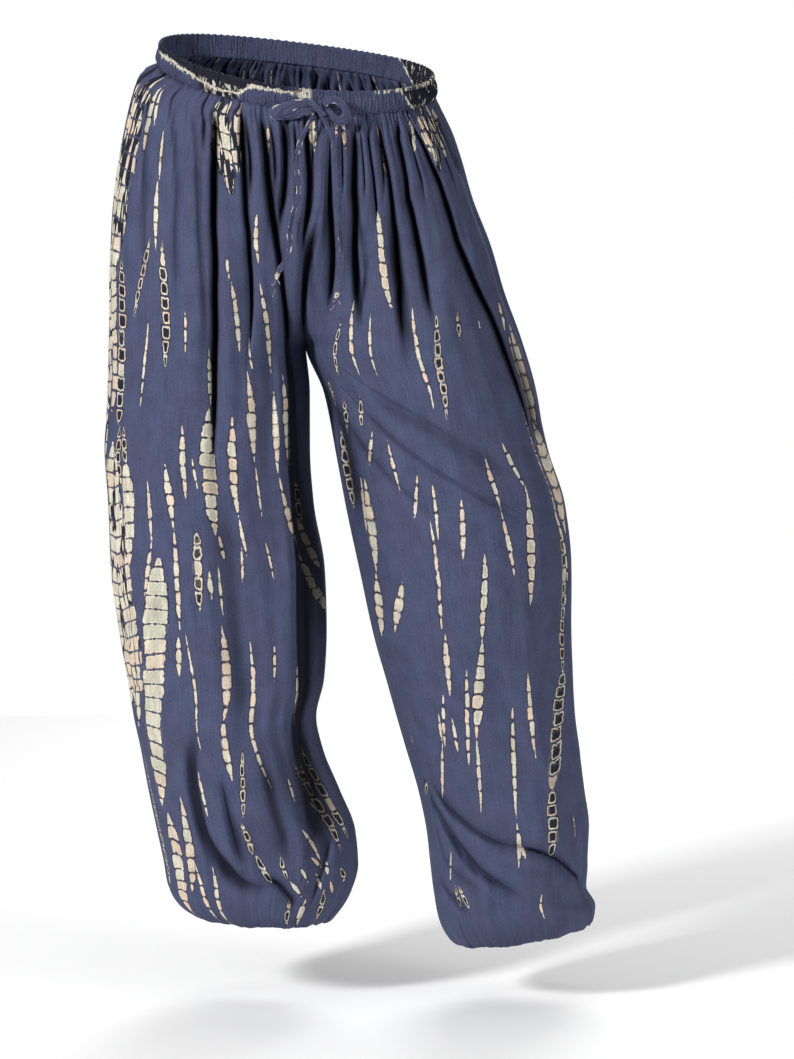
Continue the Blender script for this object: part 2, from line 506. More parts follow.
def gather_depth(grain, drop, last_drop, seed):
    """Fine pleats below the waist seam, and crinkles into the ankle casing.

    The pleats merge into fewer as they go down.  Each set is a row of narrow dips across the grain with an
    uneven pitch, fading down the drop at its own rate.
    """
    place = grain + 0.012 * ripple(grain, drop, 0.16, 3000.0, seed)
    place = place + 0.004 * ripple(grain, drop, 0.05, 1500.0, seed + 1)
    strength = np.clip(0.75 + 0.55 * ripple(grain, drop, 0.07, 260.0, seed + 2), 0.05, 1.7)

    def pleats(count, phase, narrow):
        return np.exp(-((np.sin(math.pi * count * place + phase) / narrow) ** 2))

    fine = 3.4 * pleats(33.0, 0.0, 0.50) * np.exp(-((drop / 34.0) ** 1.5))
    middling = 3.6 * pleats(17.0, 1.0, 0.32) * np.exp(-((drop / 70.0) ** 1.5))
    broad = 2.0 * pleats(9.0, 2.0, 0.30) * np.exp(-((drop / 150.0) ** 2))
    waist = strength * (0.12 + 0.88 * smoothstep(drop / 9.0)) * (fine + middling + broad)
    waist = waist + 1.3 * np.exp(-((drop / 24.0) ** 2)) * ripple(grain, drop, 0.030, 26.0, seed + 3)
    up = last_drop - drop
    hem = strength * (4.2 * pleats(23.0, 0.5, 0.35) * np.exp(-((up / 44.0) ** 1.5)))
    return waist + hem


def fold_depth(name, grain, across, drop, last_drop, seed):
    """All folds of a panel, in millimetres inward: with and without the slow swell of the cloth between them.

    They die away at its side edges and its hem.
    """
    at_hem = 1.0 - smoothstep((drop - last_drop + 34.0) / 30.0)
    at_edges = 1.0 - np.exp(-((across / 0.016) ** 2)) - np.exp(-(((1.0 - across) / 0.016) ** 2))
    large = crease_depth(name, across, drop) * at_edges * at_hem
    at_seams = 1.0 - np.exp(-((across / 0.008) ** 2)) - np.exp(-(((1.0 - across) / 0.008) ** 2))
    wide = across * PANEL_WIDTH
    soft = 1.8 * ripple(wide, drop, 85.0, 420.0, seed + 5) + 0.75 * ripple(wide, drop, 30.0, 170.0, seed + 6)
    below = smoothstep(drop / 120.0) * smoothstep((last_drop - drop) / 60.0)
    folds = large + gather_depth(grain, drop, last_drop, seed) * at_seams
    return folds + soft * below * at_seams, folds


# Chains of tie-dyed cells that run down the cloth.  Kind 0 is plain cream, 1 has a grey-green middle, 2 is
# a cream ring with a near-black middle, 3 is cream broken by dark streaks, and 4 is broken by wider ones.
# A chain tapers to both ends: 2 in the last column gives a spindle, and more gives a column with blunt
# ends.
# kind, across, drop at the top, length, lean across over the length, width, bluntness
CHAINS = {
    "panel_front_right": (
        (4, 0.95, 0, 335, 0.0, 38, 9), (4, 0.95, 335, 320, 0.0, 38, 9), (4, 0.80, -8, 200, 0.07, 58, 3),
        (0, 0.87, 165, 170, 0.0, 24, 9), (2, 0.80, 175, 170, 0.0, 20, 9), (4, 0.84, 362, 310, 0.02, 64, 4),
        (2, 0.79, 345, 190, 0.02, 14, 6), (0, 0.745, 380, 115, 0.02, 26, 3),
        (0, 0.81, 540, 120, 0.04, 14, 2), (0, 0.71, 6, 70, 0.0, 12, 2), (2, 0.765, 345, 45, -0.02, 10, 2),
        (0, 0.69, 10, 35, -0.025, 6, 2), (0, 0.61, 45, 50, -0.015, 4, 2), (0, 0.60, 95, 65, 0.0, 8, 2),
        (2, 0.625, 150, 80, 0.09, 8, 3), (2, 0.565, 150, 130, 0.01, 11, 3), (3, 0.415, 0, 70, -0.07, 16, 5),
        (3, 0.375, 0, 95, -0.07, 17, 5), (3, 0.335, 0, 70, -0.05, 13, 3), (0, 0.20, 15, 35, -0.015, 4, 2),
        (0, 0.045, 0, 35, -0.015, 9, 2), (0, 0.205, 110, 60, -0.015, 6, 2), (0, 0.315, 160, 25, 0.0, 4, 2),
        (0, 0.19, 190, 100, -0.015, 7, 2), (0, 0.31, 190, 75, -0.015, 6, 3),
        (0, 0.49, 220, 45, 0.005, 3, 2), (0, 0.645, 230, 95, 0.035, 4, 2), (0, 0.26, 250, 35, -0.01, 3, 2),
        (0, 0.275, 285, 95, -0.03, 11, 2), (0, 0.245, 385, 55, -0.01, 3, 2),
        (0, 0.17, 305, 90, -0.02, 10, 2), (0, 0.145, 395, 80, -0.035, 7, 2),
        (0, 0.12, 290, 100, -0.015, 9, 2), (1, 0.41, 260, 60, 0.005, 4, 2),
        (1, 0.415, 320, 140, 0.0, 20, 2), (0, 0.40, 455, 30, -0.01, 5, 2),
        (0, 0.335, 330, 110, -0.015, 11, 2), (0, 0.32, 440, 40, -0.01, 4, 2),
        (0, 0.51, 340, 80, -0.01, 7, 2), (0, 0.47, 375, 35, -0.015, 3, 2), (0, 0.57, 380, 70, -0.015, 9, 2),
        (0, 0.55, 450, 110, 0.02, 7, 2), (0, 0.575, 565, 45, 0.015, 8, 2), (0, 0.645, 400, 70, 0.0, 5, 2),
        (0, 0.645, 465, 60, 0.055, 7, 2), (0, 0.545, 560, 130, -0.02, 3, 2),
        (0, 0.675, 740, 115, 0.035, 14, 2), (0, 0.68, 810, 80, -0.05, 7, 2),
        (2, 0.475, 450, 90, 0.01, 11, 3), (0, 0.445, 495, 30, 0.0, 6, 2), (0, 0.415, 490, 55, -0.005, 3, 2),
        (0, 0.42, 555, 100, 0.0, 12, 2), (0, 0.42, 650, 70, 0.015, 10, 2), (0, 0.325, 470, 40, 0.01, 3, 2),
        (0, 0.33, 565, 170, -0.035, 6, 2), (0, 0.235, 575, 40, 0.0, 4, 2),
        (0, 0.235, 465, 40, -0.015, 3, 2), (0, 0.14, 600, 70, -0.025, 4, 2), (0, 0.56, 710, 50, 0.01, 4, 2),
        (0, 0.605, 815, 80, -0.03, 6, 2), (2, 0.36, 685, 75, 0.08, 6, 3), (2, 0.45, 765, 35, -0.01, 7, 3),
        (2, 0.43, 800, 35, -0.045, 9, 3), (1, 0.62, 480, 275, 0.175, 38, 5),
        (0, 0.765, 760, 125, 0.02, 24, 3), (2, 0.89, 700, 150, -0.03, 14, 3),
        (2, 0.11, 690, 105, -0.07, 14, 2), (2, 0.16, 705, 100, -0.075, 13, 2),
        (2, 0.14, 710, 35, -0.01, 10, 2), (0, 0.165, 750, 30, -0.08, 6, 2),
        (0, 0.235, 775, 35, -0.05, 6, 2), (0, 0.225, 805, 15, -0.045, 6, 2), (2, 0.155, 812, 16, 0.0, 8, 2),
        (2, 0.09, 822, 18, -0.02, 9, 2), (2, 0.34, 802, 26, -0.015, 7, 2), (0, 0.315, 830, 22, -0.06, 8, 2),
        (0, 0.235, 855, 35, 0.0, 9, 2), (0, 0.27, 815, 20, -0.03, 4, 2), (0, 0.21, 825, 20, -0.035, 6, 2),
        (0, 0.14, 835, 17, -0.03, 5, 2), (2, 0.16, 845, 40, -0.03, 10, 2),
        (2, 0.305, 855, 35, -0.015, 8, 2), (0, 0.21, 720, 25, 0.01, 4, 2),
        (2, 0.075, 405, 48, -0.01, 15, 3), (0, 0.085, 448, 52, -0.065, 14, 4),
        (0, 0.105, 486, 58, -0.09, 12, 4), (0, 0.03, 520, 40, -0.03, 6, 2),
    ),
    "panel_front_left": (
        (2, 0.055, 3, 17, 0.01, 6, 2), (0, 0.10, 0, 32, 0.005, 7, 3), (1, 0.285, 10, 60, 0.01, 6, 2),
        (0, 0.40, 32, 18, 0.0, 3, 2), (3, 0.535, 0, 40, -0.055, 9, 3), (0, 0.60, 6, 36, 0.0, 20, 2),
        (3, 0.65, 0, 62, -0.02, 28, 4), (3, 0.73, 0, 52, -0.01, 28, 4), (0, 0.83, 0, 30, 0.04, 22, 2),
        (1, 0.25, 98, 120, 0.125, 10, 4), (0, 0.23, 208, 82, -0.015, 5, 2), (2, 0.18, 232, 60, -0.06, 5, 3),
        (0, 0.30, 222, 68, -0.015, 3, 2), (0, 0.455, 215, 110, -0.02, 4, 3),
        (2, 0.535, 222, 112, -0.06, 8, 3), (2, 0.62, 220, 32, -0.02, 5, 2),
        (0, 0.705, 228, 15, -0.01, 2, 2), (0, 0.845, 215, 30, -0.015, 5, 2),
        (2, 0.055, 296, 32, -0.02, 5, 2), (2, 0.10, 316, 36, -0.015, 7, 2),
        (2, 0.18, 312, 34, -0.025, 6, 2), (0, 0.20, 348, 36, -0.04, 6, 2), (0, 0.255, 356, 54, 0.005, 4, 2),
        (0, 0.335, 392, 48, -0.045, 5, 2), (0, 0.11, 396, 60, -0.025, 5, 2),
        (0, 0.46, 415, 65, -0.03, 7, 2), (0, 0.38, 400, 60, -0.02, 4, 2), (0, 0.34, 440, 120, -0.01, 4, 3),
        (0, 0.335, 560, 70, -0.025, 8, 2), (0, 0.285, 625, 60, -0.05, 5, 2),
        (0, 0.23, 680, 65, -0.08, 5, 2), (0, 0.58, 376, 55, 0.005, 6, 2), (0, 0.585, 430, 70, 0.01, 5, 2),
        (1, 0.66, 360, 50, 0.045, 6, 2), (1, 0.71, 405, 130, -0.06, 11, 2),
        (1, 0.50, 472, 100, -0.035, 8, 2), (1, 0.465, 565, 110, -0.08, 14, 2),
        (1, 0.385, 670, 85, -0.055, 5, 2), (0, 0.395, 598, 106, -0.07, 6, 3),
        (0, 0.245, 646, 34, -0.015, 4, 2), (0, 0.30, 650, 40, -0.01, 5, 2),
        (0, 0.55, 636, 125, -0.065, 6, 3), (0, 0.48, 765, 50, -0.01, 7, 2),
        (0, 0.635, 602, 96, -0.02, 8, 2), (2, 0.79, 762, 28, -0.01, 4, 2),
        (0, 0.145, 800, 38, -0.025, 3, 2), (2, 0.15, 838, 28, 0.02, 7, 2), (0, 0.58, 846, 34, -0.02, 4, 2),
        (2, 0.88, 450, 160, -0.04, 24, 3), (2, 0.84, 605, 130, -0.165, 28, 5),
        (2, 0.68, 725, 85, -0.06, 19, 3), (0, 0.85, 252, 92, 0.03, 12, 5),
        (0, 0.905, 240, 108, 0.02, 17, 5), (0, 0.895, 342, 125, 0.045, 31, 3),
        (0, 0.845, 414, 100, 0.06, 10, 2), (2, 0.79, 318, 120, 0.08, 5, 3),
        (2, 0.045, 350, 85, 0.005, 10, 2), (0, 0.125, 400, 100, -0.035, 15, 2),
        (0, 0.09, 500, 70, -0.035, 13, 2), (0, 0.20, 505, 57, -0.075, 13, 2),
        (2, 0.17, 838, 28, 0.055, 9, 2), (0, 0.47, 786, 20, 0.035, 7, 2), (2, 0.065, 676, 72, -0.035, 8, 2),
    ),
}


# Pitch of the cells of a narrow and of a wide chain in tenths of a metre, how far the dye of a chain
# reaches past it in millimetres, and how many columns of chains a back panel has.
PITCH = 0.150
WIDE_PITCH = 0.160
DYE_REACH = 9.0
BACK_CHAINS = 24


def scattered_chains(seed, count):
    """Chains for a back panel: seeded places, lengths, widths and kinds, each a spindle."""
    rng = np.random.default_rng(seed)
    chains = []
    for number in range(count):
        across = (number + 0.5) / count * 0.94 + 0.03 + rng.uniform(-0.01, 0.01)
        drop = rng.uniform(-40.0, 170.0)
        while drop < 860.0:
            length = rng.uniform(60.0, 250.0)
            wide = rng.choice((4.0, 5.0, 7.0, 10.0, 17.0), p=(0.3, 0.3, 0.2, 0.12, 0.08))
            kind = int(rng.choice((0, 1, 2, 3), p=(0.6, 0.15, 0.15, 0.1)))
            start = max(drop, 0.0)
            chains.append((kind, across, start, length + drop - start, rng.uniform(-0.012, 0.012), wide, 2))
            drop += length + rng.uniform(40.0, 260.0)
    return chains


def at_corners(values):
    """The values of a grid of points at the four corners of each face."""
    return np.stack([values[:-1, :-1], values[1:, :-1], values[1:, 1:], values[:-1, 1:]], axis=-1)


def lay_chains(chains, across, drop):
    """The lane and the kind of the chain that each face lies in.

    A lane is, for each corner of a face, the millimetres off the chain's middle, half its width there and
    the chain's number.  The fraction of a kind is the pitch of its cells, in tenths of a metre.  A face
    goes to the chain that covers its centre best, which is half the width less the distance off.
    """
    across, drop = at_corners(across), at_corners(drop)
    centre_across, centre_drop = (
        0.25 * (corners[..., 0] + corners[..., 1] + corners[..., 3] + corners[..., 2])
        for corners in (across, drop)
    )
    best = np.full(centre_across.shape, -1e9)
    kind = np.zeros(centre_across.shape)
    lane = np.zeros(across.shape + (3,))
    for number, (chain_kind, top_across, top, length, lean, width, blunt) in enumerate(chains):

        def middle_at(where):
            share = (where - top) / length
            sway = 0.004 * np.sin(where / 31.0 + 2.3 * number) * smoothstep(length / 150.0)
            return top_across + lean * share + sway

        def half_at(where):
            off = np.abs(2.0 * (where - top) / length - 1.0)
            return np.where(off < 1.0, 0.5 * width * (1.0 - np.minimum(off, 1.0) ** blunt) + 0.3, 0.0)

        cover = half_at(centre_drop) - np.abs(centre_across - middle_at(centre_drop)) * PANEL_WIDTH
        taken = (cover > best) & (cover > -DYE_REACH) & (half_at(centre_drop) > 0.0)
        best = np.where(taken, cover, best)
        kind = np.where(taken, chain_kind + (WIDE_PITCH if width > 30.0 else PITCH), kind)
        lane[taken, :, 0] = (across[taken] - middle_at(drop[taken])) * PANEL_WIDTH
        lane[taken, :, 1] = half_at(drop[taken])
        lane[taken, :, 2] = number + 1.0
    return lane, kind


# Narrow pressed creases that run aslant: how deep, and a route of (across, drop) towards the side seam.
PRESSED = {
    "panel_front_left": (
        (2.4, ((0.04, 282), (0.09, 300), (0.18, 328), (0.31, 365), (0.45, 400), (0.60, 432), (0.78, 466))),
        (1.5, ((0.06, 262), (0.15, 284), (0.28, 314), (0.43, 342), (0.58, 374), (0.76, 407))),
        (0.8, ((0.03, 300), (0.07, 330), (0.13, 360), (0.24, 400), (0.37, 442), (0.46, 480))),
        (1.3, ((0.09, 718), (0.16, 752), (0.24, 770), (0.31, 782), (0.41, 793), (0.52, 798), (0.66, 812))),
        (1.0, ((0.12, 772), (0.20, 796), (0.30, 822), (0.42, 842), (0.54, 864))),
    ),
    "panel_back_left": (
        (1.2, ((0.06, 300), (0.24, 356), (0.46, 412), (0.70, 470))),
        (0.8, ((0.12, 340), (0.32, 412), (0.50, 480))),
    ),
    "panel_back_right": (
        (1.0, ((0.08, 330), (0.26, 372), (0.48, 430), (0.66, 490))),
    ),
}


def lay_pressed(name, across, drop):
    """For the corners of each face: millimetres below the nearest pressed crease, its depth there, and 0.

    A crease fades in and out over three tenths of its length at each end.
    """
    across, drop = at_corners(across), at_corners(drop)
    off = np.full(across.shape, 99.0)
    deep = np.zeros(across.shape)
    for amount, route in PRESSED.get(name, ()):
        knots, heights = np.array(route).T
        line = smooth_curve(knots, heights, across)
        slope = (heights[-1] - heights[0]) / ((knots[-1] - knots[0]) * PANEL_WIDTH)
        here = (drop - line) / math.hypot(1.0, slope)
        share = (across - knots[0]) / (knots[-1] - knots[0])
        there = amount * smoothstep(share / 0.3) * smoothstep((1.0 - share) / 0.3)
        closer = (np.abs(here.mean(axis=-1)) < np.abs(off.mean(axis=-1))) & (there.max(axis=-1) > 0.0)
        off[closer] = here[closer]
        deep[closer] = there[closer]
    return np.stack([off, deep, 0.0 * deep], axis=-1)


# Where the dye has taken darkest: across, drop, half width across, half length down, and how much darker,
# counted as millimetres of fold.
POOLS = {
    "panel_front_right": (
        (0.16, 738, 0.12, 80, 6.5),
        (0.43, 800, 0.14, 55, 3.6),
        (0.04, 500, 0.08, 120, 5.6),
        (0.30, 690, 0.10, 60, 2.0),
    ),
    "panel_front_left": (
        (0.08, 450, 0.16, 150, 4.6),
        (0.92, 320, 0.08, 100, 3.4),
        (0.30, 860, 0.20, 30, 2.6),
    ),
}


def dye_pools(name, across, drop):
    """How much darker the dye is over a panel: a soft round hill for each pool."""
    total = np.zeros(across.shape)
    for middle, down, half_across, half_down, amount in POOLS.get(name, ()):
        total += amount * np.exp(-(((across - middle) / half_across) ** 2) - ((drop - down) / half_down) ** 2)
    return total


class Wire:
    """One output of a shader node, which arithmetic turns into more nodes."""

    def __init__(self, tree, socket):
        self.tree = tree
        self.socket = socket

    def node(self, kind, settings=None, inputs=None, output=0):
        """Add a node of any kind, with its settings and its inputs by name or number."""
        made = self.tree.nodes.new(kind)
        for key, value in (settings or {}).items():
            setattr(made, key, value)
        for key, value in (inputs or {}).items():
            if isinstance(value, Wire):
                self.tree.links.new(value.socket, made.inputs[key])
            else:
                made.inputs[key].default_value = value
        return Wire(self.tree, made.outputs[output])

    def attribute(self, name, output=1):
        """What a mesh attribute holds: output 1 for a vector and 2 for a number."""
        return self.node("ShaderNodeAttribute", {"attribute_name": name}, None, output)

    def maths(self, operation, *values):
        """Add a maths node for one operation on wires or numbers."""
        return self.node("ShaderNodeMath", {"operation": operation}, dict(enumerate(values)))

    def __abs__(self):
        return self.maths("ABSOLUTE", self)

    def parts(self):
        """The three parts of a vector."""
        split = self.tree.nodes.new("ShaderNodeSeparateXYZ")
        self.tree.links.new(self.socket, split.inputs[0])
        return [Wire(self.tree, output) for output in split.outputs]

    def ramp(self, low, high, start=0.0, end=1.0):
        """Ease from start to end as this runs from low to high."""
        inputs = {"Value": self, "From Min": low, "From Max": high, "To Min": start, "To Max": end}
        return self.node("ShaderNodeMapRange", {"interpolation_type": "SMOOTHSTEP"}, inputs)

    def mix(self, first, second):
        """The first colour where this is 0 and the second where it is 1."""
        inputs = {0: self, 6: first, 7: second}
        return self.node("ShaderNodeMix", {"data_type": "RGBA"}, inputs, 2)


def arithmetic(operation, turned):
    """A method of Wire for one operation with another wire or number, which stands first when turned."""

    def method(self, other):
        return self.maths(operation, other, self) if turned else self.maths(operation, self, other)

    return method


for sign, operation in (
    ("add", "ADD"), ("sub", "SUBTRACT"), ("mul", "MULTIPLY"), ("truediv", "DIVIDE"), ("pow", "POWER"),
):
    setattr(Wire, "__{}__".format(sign), arithmetic(operation, False))
    setattr(Wire, "__r{}__".format(sign), arithmetic(operation, True))


def noise(wire, place, scale, detail=2.0, rough=0.5):
    """Smooth noise between 0 and 1 over a place."""
    inputs = {"Vector": place, "Scale": scale, "Detail": detail, "Roughness": rough}
    return wire.node("ShaderNodeTexNoise", None, inputs)


def combine(wire, x, y, z=0.0):
    """A vector of three parts."""
    return wire.node("ShaderNodeCombineXYZ", None, {0: x, 1: y, 2: z})


def fibres(wire, x, y, z=0.0, detail=2.0, rough=0.6):
    """Noise drawn out into fibres: x and y are in lengths of a fibre, and z tells one set from another."""
    return noise(wire, combine(wire, x, y, z), 1.0, detail, rough)


def chance(wire, first, second):
    """A fresh number between 0 and 1 for each pair of whole numbers."""
    place = combine(wire, first, second)
    return wire.node("ShaderNodeTexWhiteNoise", {"noise_dimensions": "2D"}, {"Vector": place})


DARK = (0.0135, 0.0150, 0.0270, 1.0)
INDIGO = (0.0560, 0.0690, 0.1300, 1.0)
PURPLE = (0.0585, 0.0640, 0.1220, 1.0)
CREAM = (0.6200, 0.5700, 0.4700, 1.0)
PEACH = (0.6700, 0.5000, 0.3900, 1.0)
SAGE = (0.3700, 0.3900, 0.3100, 1.0)


def band_dye(wire, colour, point, across, drop):
    """The waistband's dye: a dark frill, a cream line under it, and dark blocks between cream strokes.

    The frill's lower edge is 5 mm down, and sags by 11 mm more between two places right of the middle.
    Every edge is broken by two noises, a worn one and a stroked one.  Places sideways are in metres and
    those down in millimetres.
    """
    worn = fibres(wire, across * 0.06, drop * 0.12, 2.0, 5.0, 0.7)
    strokes = fibres(wire, across * 0.22, drop * 0.07, 5.0, 4.0, 0.7)
    sideways, forward, up = point.parts()
    front = forward.ramp(0.01, -0.02)
    sag = 5.0 + 11.0 * sideways.ramp(-0.135, -0.08) * sideways.ramp(-0.046, -0.066)
    over = drop - sag
    frill = (over + 5.0 * (worn - 0.5)).ramp(0.6, -0.6) * front
    frill = frill * sideways.ramp(-0.150, -0.145) * sideways.ramp(0.01, -0.02)
    right_block = front * sideways.ramp(-0.106, -0.098) * sideways.ramp(-0.058, -0.066)
    left_end = (sideways - 0.0006 * drop).ramp(0.104, 0.109)
    dark = wire.maths("MAXIMUM", wire.maths("MAXIMUM", frill, right_block), left_end)
    run = front * sideways.ramp(0.008, -0.004) * sideways.ramp(-0.150, -0.143)
    line = abs(over - 1.0 - 11.0 * (worn - 0.5)).ramp(1.9, 0.7) * run * strokes.ramp(0.38, 0.46)
    thin = abs(over - 1.5 - 24.0 * (strokes - 0.5)).ramp(1.1, 0.3) * run * worn.ramp(0.38, 0.46)
    blocks = strokes.ramp(0.52, 0.57) * right_block * drop.ramp(8.0, 11.0)
    specks = strokes.ramp(0.58, 0.63) * left_end
    dots = drop.ramp(4.2, 2.8) * strokes.ramp(0.48, 0.54) * sideways.ramp(0.078, 0.086) * front
    slant = abs(sideways * 1000.0 - 106.0 - 0.6 * drop - 9.0 * (worn - 0.5))
    slant = slant.ramp(1.6, 0.6) * strokes.ramp(0.40, 0.48)
    patch = front * sideways.ramp(0.0, 0.004) * sideways.ramp(0.016, 0.012) * drop.ramp(13.0, 9.0)
    patch = patch * strokes.ramp(0.44, 0.50)
    pale = line + thin + blocks + specks + dots + slant + patch
    return wire.maths("MINIMUM", pale, 1.0).mix(dark.mix(colour, DARK), CREAM)


def tie_dye(wire, colour, point, across, drop, left):
    """The tie's dye: cream in patches along its edges, and over the last 9 mm of a frayed end."""
    patchy = fibres(wire, drop * 0.10, 3.0, 0.0, 3.0).ramp(0.50, 0.58)
    edge = abs(across + noise(wire, point, 260.0, 2.0) - 0.5).ramp(2.0, 2.5) * patchy
    end = left.ramp(9.0, 3.0) * noise(wire, point, 300.0, 2.0).ramp(0.40, 0.50)
    return wire.maths("MAXIMUM", edge, end).mix(colour, CREAM)


def cell_dye(wire, colour, point, flat, mottle, drop, kind):
    """The cells of the chains, by the lane that each face lies in.

    A cell is a rounded box: with u the share of the half width and v the share of the half height,
    r = (u^p + v^p)^(1/p), cream inside 1 and dark just outside it, with a fringe of two noises.
    """
    offset, half, chain = wire.attribute("lane").parts()
    drift = noise(wire, flat, 7.0, 1.0)
    drift_chain = chance(wire, chain, 3.0)
    bend = abs(offset) * (drift_chain - 0.5) * 0.34
    pitch = kind.maths("FRACT", kind) * 100.0
    along = (drop + 34.0 * drift + 4.0 * drift_chain + bend) / pitch
    number = along.maths("FLOOR", along)
    pick = chance(wire, number, chain)
    pick_two = chance(wire, number + 40.0, chain)
    v = abs(along - number - 0.5) * pitch
    bead = abs(offset).ramp(0.4, 3.4, 1.0, 0.0) * half.ramp(9.0, 14.0)
    tall = 0.5 * pitch - 0.65 - 0.9 * pick * pick - bead
    wide = half * (0.80 + 0.32 * pick_two)
    corner = 3.2 + 0.30 * half
    u_share = abs(offset + (pick - 0.5) * half * 0.35) / (wide + 0.02)
    r = (u_share**corner + (v / tall) ** corner) ** (1.0 / corner)
    fray = noise(wire, point, 520.0, 3.0, 0.6) - 0.5
    reach = wire.maths("MAXIMUM", half, 2.0)
    ragged = noise(wire, point, 190.0, 2.0, 0.5) - 0.5
    edge = (r - 1.0) * reach + fray * 1.8 + ragged * (2.2 + 0.30 * half)
    shown = half.ramp(0.15, 0.6) * (pick_two + half * 0.35).ramp(0.10, 0.16)
    inside = edge.ramp(0.28, -0.28) * shown
    rim = (edge + 0.20 * half).ramp(-0.1, -0.7) * shown
    near = edge.ramp(2.6, 0.4) * shown * (0.60 + half.ramp(2.0, 7.0) * 0.4)
    cream = (pick * 0.8 + mottle * 0.4).ramp(0.45, 0.95).mix(CREAM, PEACH)
    tint = fibres(wire, offset * 0.20, drop * 0.035, chain).ramp(0.42, 0.62)
    cream = (tint * half.ramp(2.0, 9.0, 0.15, 0.6)).mix(cream, SAGE)
    middle = kind.ramp(1.4, 1.6).mix(SAGE, DARK)
    greenish = kind.ramp(0.4, 0.6) * kind.ramp(1.6, 1.4) * u_share.ramp(0.75, 0.35) * (0.2 + 0.5 * pick_two)
    ringed = kind.ramp(1.4, 1.6) * kind.ramp(2.6, 2.4) * pick_two.ramp(0.02, 0.06)
    finely = offset * kind.ramp(3.4, 3.6, 0.13, 0.055)
    streak = abs(fibres(wire, finely, drop * 0.014, chain, 2.0, 0.5) - 0.5)
    broad = drop.ramp(190.0, 60.0, 0.024, 0.055)
    streaky = kind.ramp(2.4, 2.6)
    broken = (streak - broad).ramp(0.012, -0.006) * streaky
    outline = abs(streak - broad - 0.012).ramp(0.012, 0.004) * streaky
    dye = broken.mix((rim * (greenish + ringed)).mix(cream, middle), DARK)
    return inside.mix(near.mix(colour, DARK), outline.mix(dye, CREAM))


def cloth_material(name, kind_of_cloth, crinkle=0.0):
    """Slate indigo rayon: a slow mottle, slubs along the grain, a matt crepe bump and little shine.

    The attribute "place" holds (across, drop, kind) in millimetres, and on the tie the way left to its end
    in the place of the kind.  "hollow" is how deep the cloth lies in its folds, where it looks darker and
    duller.  On dyed cloth "lane" holds the chain of the cells, and "pressed" (off a pressed crease, its
    depth): a trough in the bump with a ridge above it.
    """
    material = bpy.data.materials.new(name)
    material.use_nodes = True
    tree = material.node_tree
    principled = tree.nodes["Principled BSDF"]
    wire = Wire(tree, None)
    point = wire.node("ShaderNodeTexCoord", None, None, 3)
    across, drop, kind = wire.attribute("place").parts()
    flat = combine(wire, across * 0.001, drop * 0.001)

    mottle = noise(wire, flat, 17.0, 3.0)
    slubs = fibres(wire, across * 0.55, drop * 0.025, 0.0, 3.0)
    picks = fibres(wire, across * 0.03, drop * 0.7, 4.0)
    threads = fibres(wire, across * 0.75, drop * 0.38, 9.0, 2.0, 0.7)
    clouds = noise(wire, flat, 42.0, 3.0)
    colour = mottle.ramp(0.30, 0.70).mix(PURPLE, INDIGO)
    if kind_of_cloth == "band":
        colour = band_dye(wire, colour, point, across, drop)
    if kind_of_cloth == "tie":
        colour = tie_dye(wire, colour, point, across, drop, kind)
    if kind_of_cloth == "dyed":
        colour = cell_dye(wire, colour, point, flat, mottle, drop, kind)
    shade = 0.66 * slubs + 0.20 * picks + 0.98 * threads + 0.54 * clouds - 0.25
    shade = shade * wire.attribute("hollow", 2).ramp(2.0, 10.5, 1.0, 0.14)
    inputs = {0: 1.0, 6: colour, 7: combine(wire, shade, shade, shade)}
    colour = wire.node("ShaderNodeMix", {"data_type": "RGBA", "blend_type": "MULTIPLY"}, inputs, 2)
    tree.links.new(colour.socket, principled.inputs["Base Color"])

    relief = 0.30 * slubs + 0.22 * picks + 0.10 * noise(wire, point, 1500.0, 2.0)
    rills = fibres(wire, across * 0.11, drop * 0.016, 5.0, 2.0, 0.5)
    relief = relief + noise(wire, flat, 60.0, 3.0) * 0.8 + rills * 1.1
    if kind_of_cloth == "dyed":
        off, deep, _ = wire.attribute("pressed").parts()
        wavy = off + 3.0 * (noise(wire, flat, 24.0, 2.0) - 0.5)
        trough = abs(wavy).ramp(3.4, 0.0)
        ridge = abs(wavy + 5.0).ramp(4.6, 0.0)
        relief = relief + deep * (ridge * ridge * 1.1 - trough * trough * 1.3)
    strength, distance = 0.6, 0.0008
    if crinkle:
        relief = relief + fibres(wire, across * 0.42, drop * 0.07, 7.0, 3.0) * crinkle
        strength, distance = 1.0, 0.0026
    bump = wire.node("ShaderNodeBump", None, {"Strength": strength, "Distance": distance, "Height": relief})
    tree.links.new(bump.socket, principled.inputs["Normal"])
    principled.inputs["Roughness"].default_value = 0.78
    principled.inputs["Specular IOR Level"].default_value = 0.16
    return material


def add_piece(name, points, quads, material, lane=None, place=None, pressed=None):
    """A smooth mesh piece from points in millimetres, with its corner attributes."""
    mesh = bpy.data.meshes.new(name)
    mesh.vertices.add(len(points))
    mesh.vertices.foreach_set("co", (points * 0.001).ravel())
    mesh.loops.add(quads.size)
    mesh.loops.foreach_set("vertex_index", quads.ravel().astype(np.int32))
    mesh.polygons.add(len(quads))
    mesh.polygons.foreach_set("loop_start", np.arange(0, quads.size, 4, dtype=np.int32))
    mesh.update(calc_edges=True)
    mesh.shade_smooth()
    for key, values in (("lane", lane), ("place", place), ("pressed", pressed)):
        if values is not None:
            mesh.attributes.new(key, "FLOAT_VECTOR", "CORNER").data.foreach_set("vector", values.ravel())
    mesh.materials.append(material)
    piece = add_object(name, mesh)
    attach(piece, "root")
    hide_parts(name)
    return piece


